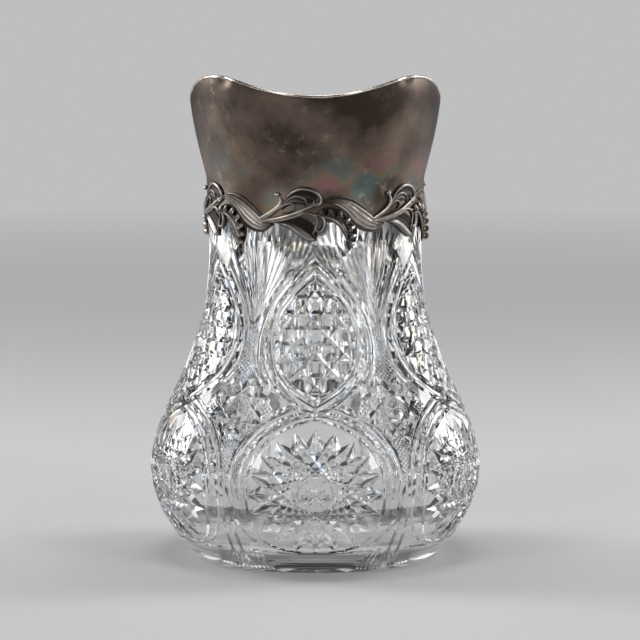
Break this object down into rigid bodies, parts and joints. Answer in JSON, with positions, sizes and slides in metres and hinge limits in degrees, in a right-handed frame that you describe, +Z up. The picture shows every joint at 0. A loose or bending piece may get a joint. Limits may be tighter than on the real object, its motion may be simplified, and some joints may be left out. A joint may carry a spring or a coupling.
{
  "type": "water pitcher",
  "caption": "Cut glass water pitcher with a flat base, a strap handle and a flared silver collar with a drawn pouring lip and cast border.",
  "frame": {"origin": "centre of the flat ground base, under the axis of the body", "axes": "+Z up along the axis, the pouring lip points to -Y and the handle to +Y"},
  "size_m": [0.1718, 0.1996, 0.2516],
  "materials": {
    "glass": "polished",
    "plaster": "matt",
    "silver": "tarnished",
    "bright_silver": "worn bright",
    "cast_silver": "oxidised"
  },
  "bodies": {
    "root": {"glass_body": "glass", "glass_handle": "glass", "plaster_bed": "plaster", "silver_collar": "silver", "rim_wire": "bright_silver", "border_leaf_1": "cast_silver", "border_leaf_2": "cast_silver", "border_leaf_3": "cast_silver", "border_leaf_4": "cast_silver", "border_leaf_5": "cast_silver", "border_leaf_6": "cast_silver", "border_scroll_1": "cast_silver", "border_scroll_2": "cast_silver", "border_scroll_3": "cast_silver", "border_scroll_4": "cast_silver", "border_scroll_5": "cast_silver", "border_scroll_6": "cast_silver", "lily_sprig_1": "cast_silver", "lily_sprig_2": "cast_silver", "lily_sprig_3": "cast_silver", "lily_sprig_4": "cast_silver", "lily_sprig_5": "cast_silver", "lily_sprig_6": "cast_silver"}
  },
  "joints": []
}
